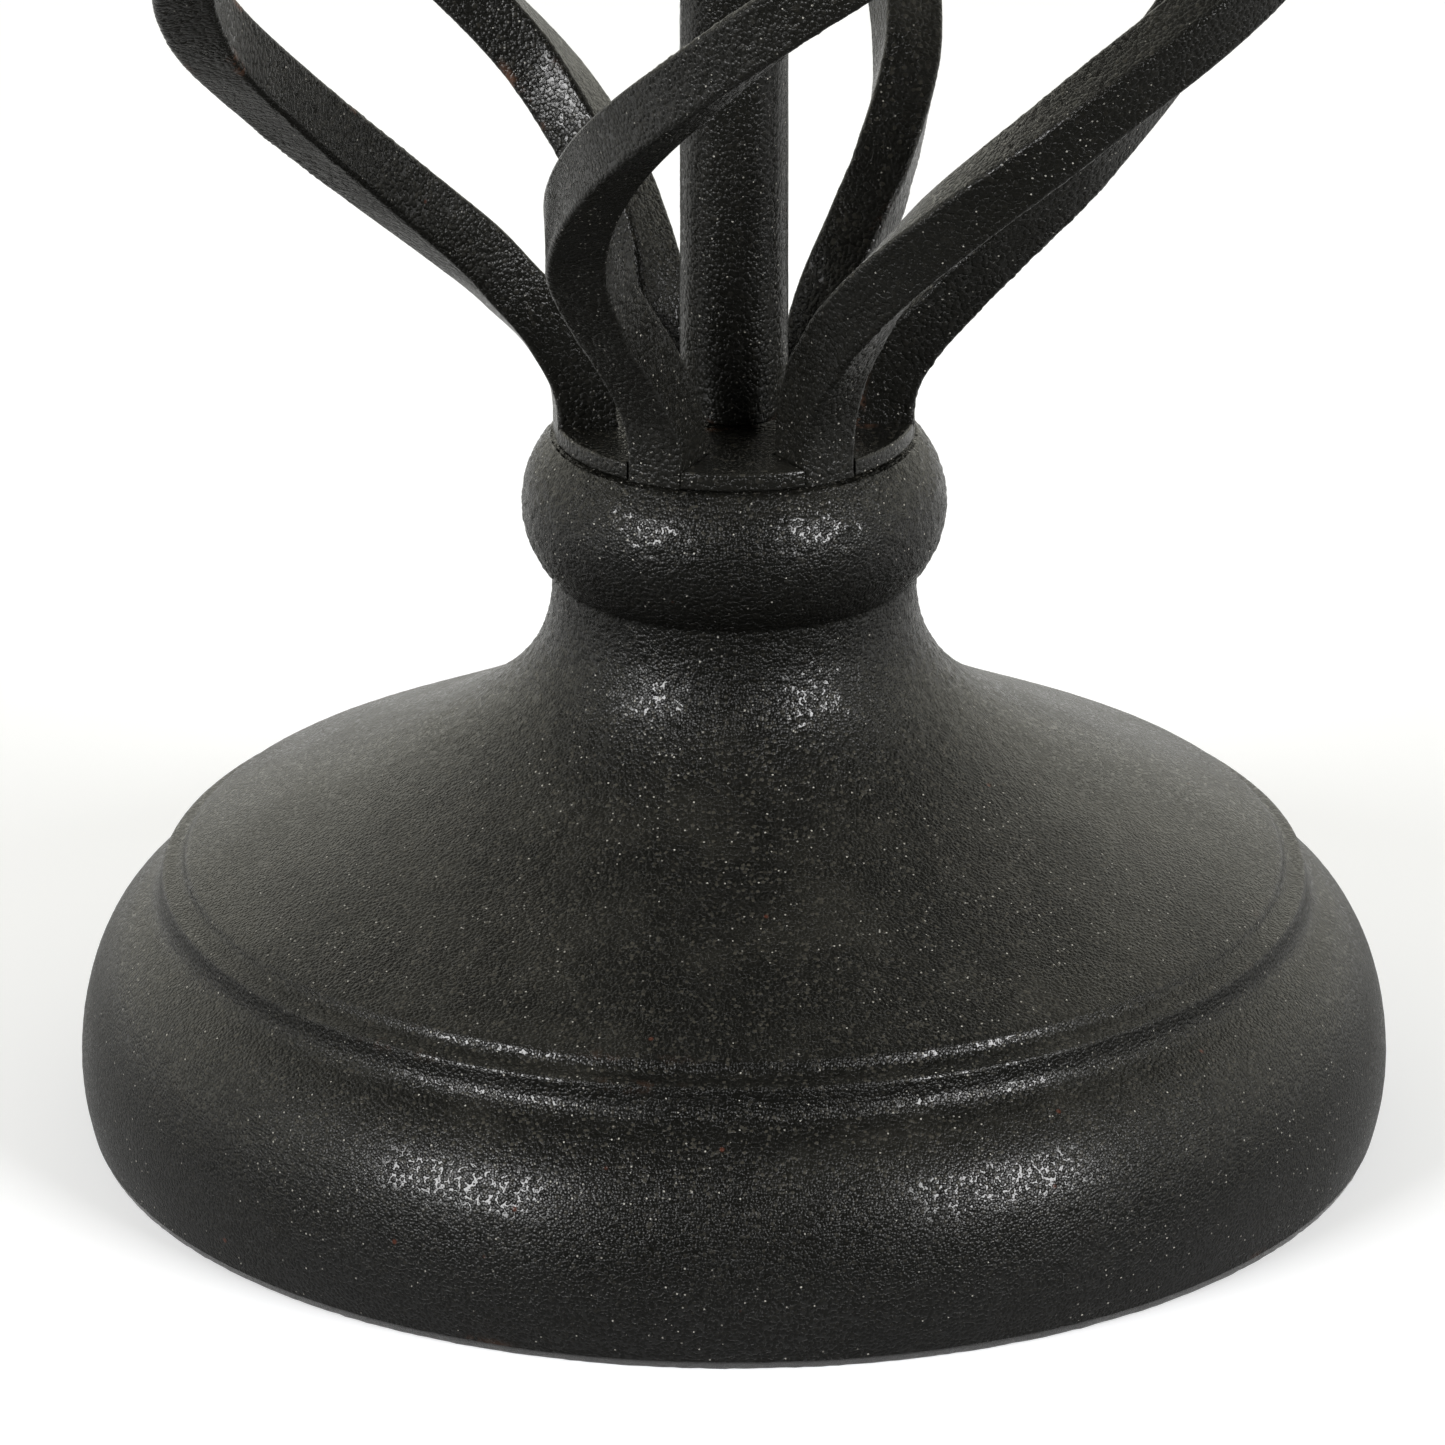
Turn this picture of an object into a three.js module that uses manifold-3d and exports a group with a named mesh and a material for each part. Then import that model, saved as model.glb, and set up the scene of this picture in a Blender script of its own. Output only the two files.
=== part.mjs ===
// A seven-light swirl candelabrum in black powder-coated iron.
// Six square bars stand in notches round a small hub disc, lean outwards and swirl anticlockwise
// (seen from above) as they rise. Each bar, and the round stem in the middle, carries a drip pan and
// a candle cup. A bolt clamps the stem and the hub disc down onto a hollow cast base.
// Millimetres, +Z up, the middle of the resting face at the origin.

import * as THREE from 'three';
import { mergeVertices } from 'three/addons/utils/BufferGeometryUtils.js';
import Module from 'manifold-3d';

const wasm = await Module();
wasm.setup();

// ---- driving dimensions ----

const FIT_GAP = 0.3;                 // clearance where one piece stands in or on another
const DRILL_POINT = 2;               // a blind hole runs this much deeper than its bolt

const FELT_THICKNESS = 1.2;
const GLUE_LINE = 0.1;

const BASE_BOTTOM = FELT_THICKNESS + GLUE_LINE;
const RIM_RADIUS = 99.8;             // lower rim of the base
const WALL_RADIUS = 101.3;           // fullest part of the wall
const WALL_FULL_HEIGHT = 11;
const SHOULDER = { centre: 86.2, height: 25.2, turn: 76 };
const LOWER_STEP = { radius: 88.6, top: 41.2 };
const UPPER_STEP = { radius: 85.0, top: 43.8 };
const STEP_ROUNDING = 1.1;
const LOWER_STEP_SIDE = 3.6;         // upright face between the wall's crown and the lower step
const LEDGE_RISE = 0.3;
const NECK_RADIUS = 28.1;
const DOME_PULL = { low: [50, 60.3], high: [NECK_RADIUS, 67.6] };
const DOME_TOP = 88;
const BEAD = { radius: 32.7, height: 100.8, arc: 15.6 };
const CASTING_TOP = 112;
const CASTING_WALL = 5;
const NECK_CEILING = 104;

const HUB_RADIUS = 27.7;
const HUB_BOTTOM = CASTING_TOP + FIT_GAP;
const HUB_THICKNESS = 2.8;
const NOTCH_RUN_OUT = 4;             // each notch in the disc is open at the rim
const HUB_TOP = HUB_BOTTOM + HUB_THICKNESS;

const STEM_RADIUS = 8.5;
const STEM_TOP = 432;
const BOLT = { radius: 4, across_flats: 13, head: 5.3, reach: 18 };
const WASHER = { outer: 9, thickness: 1.6 };

const ARM_COUNT = 6;
const BAR_SIDE = 9.6;
const BAR_STEPS = 60;
const HEADING_BIAS = 0.12;           // settles a bar's turn where it runs straight up
const FOOT_HOLD = 1;                 // keeps a bar facing outwards while its foot bends over
const FOOT_HOLD_TOP = 150;
const FOOT_RADIUS = HUB_RADIUS - BAR_SIDE / 2;
const FIRST_FOOT_ANGLE = 180;
const TIP_RADIUS = 150;
const TIP_SWEEP = 108;
const TIP_HEIGHT = 362;
const FOOT_STRAIGHT = HUB_TOP + 1;   // the bar stands upright up to here

// Centre line of a bar: height, distance from the stem, degrees swept since the foot.
const ARM_PATH = [
  [HUB_BOTTOM, FOOT_RADIUS, 0],
  [FOOT_STRAIGHT, FOOT_RADIUS, 0],
  [119.5, 23.2, 0],
  [123, 24.1, -0.2],
  [127, 25.9, -0.5],
  [131, 28.2, -0.8],
  [136, 31.9, -0.3],
  [143, 37.5, 1],
  [158, 51.2, 7.5],
  [177, 69, 19],
  [197, 87, 32.5],
  [218, 101, 46.5],
  [248, 119, 68],
  [282, 136, 89],
  [315, 147, 103],
  [342, TIP_RADIUS, TIP_SWEEP],
  [TIP_HEIGHT, TIP_RADIUS, TIP_SWEEP],
];

// The bars are bent by hand: degrees each one strays at its foot, low down and half-way up, how far
// it reaches out compared with the pattern, and degrees it is rolled about its own line above the
// foot. The cups at the tips are evenly spaced again.
const HAND_BENT = [
  { foot: 6, low: 10, middle: -1, reach: 1.14, roll: 10 },
  { foot: 3.6, low: -5, middle: -7, reach: 0.99, roll: 4 },
  { foot: 2, low: -1, middle: 0.5, reach: 0.97, roll: 18 },
  { foot: -0.8, low: -8.5, middle: -2, reach: 1.07, roll: 24 },
  { foot: -6, low: -9, middle: -4.5, reach: 1, roll: 18 },
  { foot: 2, low: -0.7, middle: -0.5, reach: 1, roll: 20 },
];
const ROLLED_HEIGHT = 140;
const LOW_HEIGHT = 160;
const MIDDLE_HEIGHT = 220;
const EVEN_HEIGHT = 300;

const PAN_RADIUS = 34;
const PAN_SHEET = 1.5;
const PAN_RIM = 4.4;
const CUP_RADIUS = 13.6;
const CUP_BORE = 11.7;
const CUP_FLOOR = 3;
const CUP_HEIGHT = 34;
const CUP_LIP = 17.5;
const SCREW = { radius: 2.5, head: 4.7, cone: 2.2, length: 14, socket: 1.5, socket_depth: 1.8 };
const HEAD_SUNK = 0.1;               // the countersunk head sits this far below the cup's floor

const ROUND = { base: 44, pan: 20, cup: 18, small: 12, stem: 24 };

// ---- materials ----

const finish = (color, roughness, metalness) => () =>
  new THREE.MeshStandardMaterial({ color, roughness, metalness });
const blackIron = finish(0x2a2a28, 0.62, 0.1);
const blackFelt = finish(0x0e0e0e, 0.98, 0);
const zincSteel = finish(0xb4b4ae, 0.4, 0.9);

// ---- shared helpers ----

const radians = THREE.MathUtils.degToRad;
const { clamp, smoothstep } = THREE.MathUtils;
const point = (radius, height) => new THREE.Vector2(radius, height);

const lathe = (profile, segments) => new THREE.LatheGeometry(profile, segments).rotateX(Math.PI / 2);

function arc(centre, radius, from, to, steps) {
  const points = [];
  for (let i = 0; i <= steps; i += 1) {
    const angle = radians(from + (to - from) * i / steps);
    points.push(point(centre[0] + radius * Math.cos(angle), centre[1] + radius * Math.sin(angle)));
  }
  return points;
}

function toSolid(geometry) {
  const bare = geometry.clone();
  bare.deleteAttribute('normal');
  bare.deleteAttribute('uv');
  const merged = mergeVertices(bare, 1e-4);
  return new wasm.Manifold(new wasm.Mesh({
    numProp: 3,
    vertProperties: merged.attributes.position.array,
    triVerts: Uint32Array.from(merged.index.array),
  }));
}

function toGeometry(solid) {
  const mesh = solid.getMesh();
  const geometry = new THREE.BufferGeometry();
  geometry.setAttribute('position', new THREE.BufferAttribute(mesh.vertProperties, 3));
  geometry.setIndex(new THREE.BufferAttribute(mesh.triVerts, 1));
  geometry.computeVertexNormals();
  return geometry;
}

function named(name, geometry, material) {
  const mesh = new THREE.Mesh(geometry, material());
  mesh.name = name;
  return mesh;
}

function uprightCylinder(radius, bottom, top, segments) {
  const height = top - bottom;
  return new THREE.CylinderGeometry(radius, radius, height, segments)
    .rotateX(Math.PI / 2)
    .translate(0, 0, bottom + height / 2);
}

// ---- the base: felt ring, casting, bolt and washer ----

function baseOutside() {
  const wall = [0, 0.5].map((t) =>
    point(WALL_RADIUS - (WALL_RADIUS - RIM_RADIUS) * (1 - t) ** 2,
      BASE_BOTTOM + (WALL_FULL_HEIGHT - BASE_BOTTOM) * t));
  const shoulder = [];
  for (let i = 0; i <= 8; i += 1) {
    const angle = radians(SHOULDER.turn * i / 8);
    shoulder.push(point(
      SHOULDER.centre + (WALL_RADIUS - SHOULDER.centre) * Math.cos(angle),
      WALL_FULL_HEIGHT + SHOULDER.height * Math.sin(angle),
    ));
  }
  const step = ({ radius, top }) =>
    arc([radius - STEP_ROUNDING, top - STEP_ROUNDING], STEP_ROUNDING, 0, 75, 2);
  const ledge = point(UPPER_STEP.radius, LOWER_STEP.top + LEDGE_RISE);
  const domeStart = step(UPPER_STEP).pop();
  const dome = new THREE.CubicBezierCurve(
    domeStart, point(...DOME_PULL.low), point(...DOME_PULL.high), point(NECK_RADIUS, DOME_TOP),
  ).getPoints(10).slice(1);
  const beadCentre = BEAD.radius - BEAD.arc;
  const beadTurn = THREE.MathUtils.radToDeg(Math.acos((NECK_RADIUS - beadCentre) / BEAD.arc));
  return [
    ...wall,
    ...shoulder,
    point(LOWER_STEP.radius, LOWER_STEP.top - LOWER_STEP_SIDE),
    ...step(LOWER_STEP),
    ledge,
    ...step(UPPER_STEP),
    ...dome,
    ...arc([beadCentre, BEAD.height], BEAD.arc, -beadTurn, beadTurn, 8),
    point(NECK_RADIUS - 0.3, CASTING_TOP),
  ];
}

function baseInside() {
  const domeWall = new THREE.CubicBezierCurve(
    point(UPPER_STEP.radius - CASTING_WALL, UPPER_STEP.top - CASTING_WALL),
    point(DOME_PULL.low[0] - 2, DOME_PULL.low[1] - CASTING_WALL),
    point(DOME_PULL.high[0] - CASTING_WALL, DOME_PULL.high[1] - CASTING_WALL),
    point(NECK_RADIUS - CASTING_WALL, DOME_TOP),
  ).getPoints(6);
  return [
    point(BOLT.radius + FIT_GAP, CASTING_TOP),
    point(BOLT.radius + FIT_GAP, NECK_CEILING),
    point(NECK_RADIUS - CASTING_WALL, NECK_CEILING),
    ...domeWall.reverse(),
    point(SHOULDER.centre, WALL_FULL_HEIGHT + SHOULDER.height - CASTING_WALL),
    point(WALL_RADIUS - CASTING_WALL - 2, 2 * WALL_FULL_HEIGHT),
    point(WALL_RADIUS - CASTING_WALL, WALL_FULL_HEIGHT),
    point(RIM_RADIUS - CASTING_WALL, BASE_BOTTOM),
  ];
}

function buildBase() {
  const outline = [...baseOutside(), ...baseInside()];
  outline.push(outline[0].clone());
  return named('base_shell', lathe(outline, ROUND.base), blackIron);
}

function ring(inner, outer, bottom, top, segments) {
  const corners = [point(inner, bottom), point(outer, bottom), point(outer, top), point(inner, top)];
  return lathe([...corners, corners[0].clone()], segments);
}

function buildFelt() {
  const geometry = ring(RIM_RADIUS - CASTING_WALL + 0.3, RIM_RADIUS - 0.5, 0, FELT_THICKNESS, ROUND.base);
  return named('felt_ring', geometry, blackFelt);
}

function buildBoltAndWasher() {
  const washerBottom = NECK_CEILING - FIT_GAP - WASHER.thickness;
  const washer = ring(BOLT.radius + FIT_GAP, WASHER.outer, washerBottom, NECK_CEILING - FIT_GAP, ROUND.small);
  const headTop = washerBottom - FIT_GAP;
  const shank = uprightCylinder(BOLT.radius, headTop - BOLT.head / 2, HUB_TOP + BOLT.reach, ROUND.small);
  const head = uprightCylinder(BOLT.across_flats / Math.sqrt(3), headTop - BOLT.head, headTop, 6);
  return [
    named('base_washer', washer, zincSteel),
    named('base_bolt', toGeometry(toSolid(head).add(toSolid(shank))), zincSteel),
  ];
}

// ---- the hub disc, with a notch for the foot of each bar ----

const footAngle = (arm) => radians(FIRST_FOOT_ANGLE + 360 * arm / ARM_COUNT + HAND_BENT[arm].foot);

function buildHub() {
  let disc = toSolid(uprightCylinder(HUB_RADIUS, HUB_BOTTOM, HUB_TOP, 2 * ROUND.stem));
  disc = disc.subtract(toSolid(
    uprightCylinder(BOLT.radius + FIT_GAP, HUB_BOTTOM - 1, HUB_TOP + 1, ROUND.small)));
  const notchSide = BAR_SIDE + 2 * FIT_GAP;
  for (let arm = 0; arm < ARM_COUNT; arm += 1) {
    const notch = new THREE.BoxGeometry(notchSide + NOTCH_RUN_OUT, notchSide, 3 * HUB_THICKNESS)
      .translate(FOOT_RADIUS + NOTCH_RUN_OUT / 2, 0, HUB_BOTTOM)
      .rotateZ(footAngle(arm));
    disc = disc.subtract(toSolid(notch));
  }
  return named('hub_disc', toGeometry(disc), blackIron);
}

// ---- the bars: a straight square bar bent along the swirl ----

function swirl(arm) {
  const { foot, low, middle, reach } = HAND_BENT[arm];
  const points = ARM_PATH.map(([height, radius, sweep]) => {
    const aboveFoot = smoothstep(height, FOOT_STRAIGHT, LOW_HEIGHT);
    const aboveLow = smoothstep(height, LOW_HEIGHT, MIDDLE_HEIGHT);
    const uneven = 1 - smoothstep(height, MIDDLE_HEIGHT, EVEN_HEIGHT);
    const stray = foot * (1 - aboveFoot) + low * aboveFoot * (1 - aboveLow) + middle * aboveLow * uneven;
    const out = FOOT_RADIUS + (radius - FOOT_RADIUS) * (1 + (reach - 1) * uneven);
    const angle = radians(FIRST_FOOT_ANGLE + 360 * arm / ARM_COUNT + sweep + stray);
    return new THREE.Vector3(out * Math.cos(angle), out * Math.sin(angle), height);
  });
  return new THREE.CatmullRomCurve3(points, false, 'centripetal');
}

// Before a bar is rolled, two of its faces stay upright, square to the way it heads in plan. Where it
// runs straight up it has no heading of its own: it faces outwards at the foot and sideways at the tip.
function barFrame(path, roll, t) {
  const position = path.getPointAt(t);
  const along = path.getTangentAt(t);
  const outward = new THREE.Vector3(position.x, position.y, 0).normalize();
  const sideways = new THREE.Vector3(-outward.y, outward.x, 0);
  const footHold = FOOT_HOLD * (1 - smoothstep(position.z, FOOT_STRAIGHT, FOOT_HOLD_TOP));
  const heading = new THREE.Vector3(along.x, along.y, 0)
    .addScaledVector(outward, footHold + HEADING_BIAS * (1 - t))
    .addScaledVector(sideways, HEADING_BIAS * t);
  const side = new THREE.Vector3(-heading.y, heading.x, 0);
  side.addScaledVector(along, -side.dot(along)).normalize();
  const rolled = smoothstep(position.z, FOOT_STRAIGHT, ROLLED_HEIGHT)
    * (1 - smoothstep(position.z, MIDDLE_HEIGHT, EVEN_HEIGHT));
  side.applyAxisAngle(along, radians(roll) * rolled);
  return { position, side, face: new THREE.Vector3().crossVectors(side, along) };
}

function bentBar(path, roll) {
  const bar = new THREE.BoxGeometry(BAR_SIDE, BAR_SIDE, 1, 1, 1, BAR_STEPS).translate(0, 0, 0.5);
  const spots = bar.attributes.position;
  for (let i = 0; i < spots.count; i += 1) {
    const { position, side, face } = barFrame(path, roll, clamp(spots.getZ(i), 0, 1));
    position.addScaledVector(face, spots.getX(i)).addScaledVector(side, spots.getY(i));
    spots.setXYZ(i, position.x, position.y, position.z);
  }
  return bar;
}

function tipPosition(arm) {
  const angle = radians(FIRST_FOOT_ANGLE + 360 * arm / ARM_COUNT + TIP_SWEEP);
  return new THREE.Vector3(TIP_RADIUS * Math.cos(angle), TIP_RADIUS * Math.sin(angle), TIP_HEIGHT);
}

function buildArm(arm) {
  const tip = tipPosition(arm);
  const tapping = uprightCylinder(SCREW.radius + FIT_GAP, TIP_HEIGHT - SCREW.length, TIP_HEIGHT + 1, 12)
    .translate(tip.x, tip.y, 0);
  const bar = toSolid(bentBar(swirl(arm), HAND_BENT[arm].roll)).subtract(toSolid(tapping));
  return named(`arm_${arm + 1}`, toGeometry(bar), blackIron);
}

function buildStem() {
  const boltHole = BOLT.radius + FIT_GAP;
  const screwHole = SCREW.radius + FIT_GAP;
  const boltHoleEnd = HUB_TOP + FIT_GAP + BOLT.reach + DRILL_POINT;
  const profile = [
    point(0, boltHoleEnd),
    point(boltHole, boltHoleEnd),
    point(boltHole, HUB_TOP + FIT_GAP),
    point(STEM_RADIUS, HUB_TOP + FIT_GAP),
    point(STEM_RADIUS, STEM_TOP),
    point(screwHole, STEM_TOP),
    point(screwHole, STEM_TOP - SCREW.length),
    point(0, STEM_TOP - SCREW.length),
  ];
  return named('centre_stem', lathe(profile, ROUND.stem), blackIron);
}

// ---- a light: drip pan, candle cup and the screw through both ----

const PAN_BOTTOM = FIT_GAP;
const CUP_BOTTOM = PAN_BOTTOM + PAN_SHEET + FIT_GAP;
const FLOOR_TOP = CUP_BOTTOM + CUP_FLOOR;

// A flat dish of pressed sheet with a sloping brim and a turned-up rim.
function panGeometry() {
  const hole = SCREW.radius + FIT_GAP;
  const outline = [
    point(hole, PAN_BOTTOM),
    point(PAN_RADIUS - 8, PAN_BOTTOM),
    point(PAN_RADIUS - 2.5, PAN_BOTTOM + 1.6),
    point(PAN_RADIUS, PAN_BOTTOM + PAN_RIM - 0.8),
    point(PAN_RADIUS - 0.4, PAN_BOTTOM + PAN_RIM),
    point(PAN_RADIUS - 1.3, PAN_BOTTOM + PAN_RIM),
    point(PAN_RADIUS - 3.6, PAN_BOTTOM + 1.6 + PAN_SHEET),
    point(PAN_RADIUS - 8.4, PAN_BOTTOM + PAN_SHEET),
    point(hole, PAN_BOTTOM + PAN_SHEET),
  ];
  outline.push(outline[0].clone());
  return lathe(outline, ROUND.pan);
}

// A turned cup with a rounded foot, a straight body and a flared lip, countersunk for its screw.
function cupGeometry() {
  const hole = SCREW.radius + FIT_GAP;
  const top = CUP_BOTTOM + CUP_HEIGHT;
  const outline = [
    point(hole, CUP_BOTTOM),
    point(CUP_RADIUS - 2.8, CUP_BOTTOM),
    point(CUP_RADIUS - 0.5, CUP_BOTTOM + 2),
    point(CUP_RADIUS, CUP_BOTTOM + 5),
    point(CUP_RADIUS, top - 7),
    point(CUP_RADIUS + 1.2, top - 3.4),
    point(CUP_LIP, top - 1.1),
    point(CUP_LIP, top - 0.3),
    point(CUP_LIP - 0.9, top),
    point(CUP_BORE + 1.6, top - 2.4),
    point(CUP_BORE, top - 6),
    point(CUP_BORE, FLOOR_TOP),
    point(SCREW.head + FIT_GAP, FLOOR_TOP),
    point(hole, FLOOR_TOP - SCREW.cone),
  ];
  outline.push(outline[0].clone());
  return lathe(outline, ROUND.cup);
}

function screwGeometry() {
  const headTop = FLOOR_TOP - HEAD_SUNK;
  return lathe([
    point(0, FIT_GAP - SCREW.length),
    point(SCREW.radius, FIT_GAP - SCREW.length),
    point(SCREW.radius, headTop - SCREW.cone),
    point(SCREW.head, headTop),
    point(SCREW.socket, headTop),
    point(SCREW.socket, headTop - SCREW.socket_depth),
    point(0, headTop - SCREW.socket_depth),
  ], ROUND.small);
}

function buildLight(label, place) {
  const light = new THREE.Group();
  light.position.copy(place);
  light.add(
    named(`drip_pan_${label}`, panGeometry(), blackIron),
    named(`candle_cup_${label}`, cupGeometry(), blackIron),
    named(`cup_screw_${label}`, screwGeometry(), zincSteel),
  );
  return light;
}

// ---- the whole object ----

const candelabrum = new THREE.Group();
candelabrum.add(buildFelt(), buildBase(), ...buildBoltAndWasher(), buildHub(), buildStem());
candelabrum.add(buildLight('centre', new THREE.Vector3(0, 0, STEM_TOP)));
for (let arm = 0; arm < ARM_COUNT; arm += 1) {
  candelabrum.add(buildArm(arm), buildLight(arm + 1, tipPosition(arm)));
}

export default candelabrum;
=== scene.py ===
import math

import bmesh
import bpy
import numpy as np
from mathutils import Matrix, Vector


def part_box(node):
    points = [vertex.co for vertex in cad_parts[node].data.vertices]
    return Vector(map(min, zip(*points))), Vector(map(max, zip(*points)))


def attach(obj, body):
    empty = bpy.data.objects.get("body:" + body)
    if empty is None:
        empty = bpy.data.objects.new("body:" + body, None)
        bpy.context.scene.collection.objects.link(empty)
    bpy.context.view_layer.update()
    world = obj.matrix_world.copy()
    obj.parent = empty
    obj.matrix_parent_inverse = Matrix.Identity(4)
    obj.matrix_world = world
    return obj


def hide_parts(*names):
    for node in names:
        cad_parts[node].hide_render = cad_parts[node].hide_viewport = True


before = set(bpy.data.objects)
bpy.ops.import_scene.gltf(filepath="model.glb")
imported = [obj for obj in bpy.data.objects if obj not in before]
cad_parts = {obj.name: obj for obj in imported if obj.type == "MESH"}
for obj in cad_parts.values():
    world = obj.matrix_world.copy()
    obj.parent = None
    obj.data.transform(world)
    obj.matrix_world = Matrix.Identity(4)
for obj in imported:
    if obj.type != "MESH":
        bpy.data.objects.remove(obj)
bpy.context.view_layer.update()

# The looks of a seven-light swirl candelabrum: sand-textured black powder coat over a hollow cast
# base, bent square bars, drip pans and candle cups. Outlines are in millimetres, as in the CAD part,
# and become metres when a mesh is made.

MM = 0.001

# ---- sizes read from the frame ----


def node_mm(name):
    """Lowest and highest corner of a CAD node, in millimetres."""
    low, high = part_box(name)
    return np.array(low) / MM, np.array(high) / MM


FELT_HIGH = node_mm("felt_ring")[1]
BASE_LOW, BASE_HIGH = node_mm("base_shell")
HUB_LOW, HUB_HIGH = node_mm("hub_disc")
STEM_LOW, STEM_HIGH = node_mm("centre_stem")
BOLT_LOW, BOLT_HIGH = node_mm("base_bolt")
WASHER_LOW, WASHER_HIGH = node_mm("base_washer")

WALL_RADIUS = BASE_HIGH[0]
BASE_BOTTOM = BASE_LOW[2]
CASTING_TOP = BASE_HIGH[2]
HUB_BOTTOM = HUB_LOW[2]
HUB_TOP = HUB_HIGH[2]
STEM_RADIUS = STEM_HIGH[0]
STEM_TOP = STEM_HIGH[2]

# ---- sizes shared with the CAD part ----

RIM_RADIUS = WALL_RADIUS - 1.5
WALL_FULL_HEIGHT = 11
SHOULDER = {"centre": 86.2, "height": 25.2, "turn": 76}
LOWER_STEP = {"radius": 88.6, "top": 41.2}
UPPER_STEP = {"radius": 85.0, "top": 43.8}
STEP_ROUNDING = 1.1
LOWER_STEP_SIDE = 3.6
LEDGE_RISE = 0.3
NECK_RADIUS = 28.1
DOME_PULL = {"low": (50, 60.3), "high": (NECK_RADIUS, 67.6)}
DOME_TOP = 88
BEAD = {"radius": 32.7, "height": 100.8, "arc": 15.6}
CASTING_WALL = 5
NECK_CEILING = 104

HUB_RADIUS = 27.7
HUB_BEVEL = 0.45
BOLT = {"radius": 4, "across_flats": 13, "head": 5.3, "pitch": 1.25}
FIT_GAP = 0.3

ARM_COUNT = 6
BAR_SIDE = 9.6
FOOT_RADIUS = HUB_RADIUS - BAR_SIDE / 2
FIRST_FOOT_ANGLE = 180
TIP_RADIUS = 150
TIP_SWEEP = 108
TIP_HEIGHT = 362
FOOT_STRAIGHT = HUB_TOP + 1
HEADING_BIAS = 0.12
FOOT_HOLD = 1
FOOT_HOLD_TOP = 150
ROLLED_HEIGHT = 140
LOW_HEIGHT = 160
MIDDLE_HEIGHT = 220
EVEN_HEIGHT = 300
ARM_PATH = [
    (HUB_BOTTOM, FOOT_RADIUS, 0),
    (FOOT_STRAIGHT, FOOT_RADIUS, 0),
    (119.5, 23.2, 0),
    (123, 24.1, -0.2),
    (127, 25.9, -0.5),
    (131, 28.2, -0.8),
    (136, 31.9, -0.3),
    (143, 37.5, 1),
    (158, 51.2, 7.5),
    (177, 69, 19),
    (197, 87, 32.5),
    (218, 101, 46.5),
    (248, 119, 68),
    (282, 136, 89),
    (315, 147, 103),
    (342, TIP_RADIUS, TIP_SWEEP),
    (TIP_HEIGHT, TIP_RADIUS, TIP_SWEEP),
]
HAND_BENT = [
    {"foot": 6, "low": 10, "middle": -1, "reach": 1.14, "roll": 10},
    {"foot": 3.6, "low": -5, "middle": -7, "reach": 0.99, "roll": 4},
    {"foot": 2, "low": -1, "middle": 0.5, "reach": 0.97, "roll": 18},
    {"foot": -0.8, "low": -8.5, "middle": -2, "reach": 1.07, "roll": 24},
    {"foot": -6, "low": -9, "middle": -4.5, "reach": 1, "roll": 18},
    {"foot": 2, "low": -0.7, "middle": -0.5, "reach": 1, "roll": 20},
]

PAN_RADIUS = 34
PAN_SHEET = 1.5
PAN_RIM = 4.4
CUP_RADIUS = 13.6
CUP_BORE = 11.7
CUP_FLOOR = 3
CUP_HEIGHT = 34
CUP_LIP = 17.5
PAN_BOTTOM = FIT_GAP
CUP_BOTTOM = PAN_BOTTOM + PAN_SHEET + FIT_GAP
FLOOR_TOP = CUP_BOTTOM + CUP_FLOOR
SCREW = {"radius": 2.5, "head": 4.7, "cone": 2.2, "length": 14, "socket": 1.5, "socket_depth": 1.8,
         "across_socket": 2.6}

# ---- sizes that only the looks have ----

STEP_BAND = {"from_height": 30, "to_radius": 78}
COAT_SOFTNESS = 1.5
BAR_ROUNDING = 1.1
STEM_ROUNDING = 0.6
HOLE_ROOM = 2
THREAD_DEPTH = 0.54
PLAIN_SHANK = 2
FELT_WIDTH = 4.2
FELT_ROUNDING = 0.35
WASHER_ROUNDING = 0.3
EDGE_REACH = 0.8
HUB_WORN_RIM = 0.7
SLENDER_RADIUS = 1.3 * NECK_RADIUS

# ---- how finely the surfaces are drawn: spacing in millimetres, steps to a full turn ----

ROUGH = 1
BASE_SPACING = 1.4 * ROUGH
NECK_SPACING = 0.55 * ROUGH
STEP_SPACING = 0.75 * ROUGH
BAR_SPACING = 0.46 * ROUGH
FINE_SPACING = 0.6 * ROUGH
PAN_SPACING = 1.1 * ROUGH
CUP_SPACING = 0.8 * ROUGH
BOLT_SPACING = 0.2 * ROUGH
HUB_ARC_STEPS = 24
BAR_CORNER_STEPS = 4
ROUND_STEPS = {"felt": 480, "bolt": 72, "washer": 96, "stem": 88, "pan": 180, "cup": 132, "screw": 48}

# ---- noise ----


def cell_value(cells, seed):
    """A number from 0 to 1 for each whole-number cell, always the same for the same cell and seed."""
    cells = cells.astype(np.int64)
    mixed = cells[..., 0] * 73856093 ^ cells[..., 1] * 19349663 ^ cells[..., 2] * 83492791
    mixed = (mixed ^ seed * 2654435761) & 0xFFFFFFFF
    for _ in range(2):
        mixed = ((mixed >> 15) ^ mixed) * 0x2C1B3C6D & 0xFFFFFFFF
        mixed = ((mixed >> 12) ^ mixed) * 0x297A2D39 & 0xFFFFFFFF
    return ((mixed >> 8) & 0xFFFF) / 0xFFFF


def soft_noise(points, size, seed):
    """Smooth noise from -1 to 1, with features about size apart."""
    cell = np.floor(points / size)
    part = points / size - cell
    fade = part * part * (3 - 2 * part)
    total = 0
    for corner in range(8):
        step = np.array([corner & 1, corner >> 1 & 1, corner >> 2 & 1])
        weight = np.prod(np.where(step, fade, 1 - fade), axis=-1)
        total = total + weight * cell_value(cell + step, seed)
    return 2 * total - 1


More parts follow.
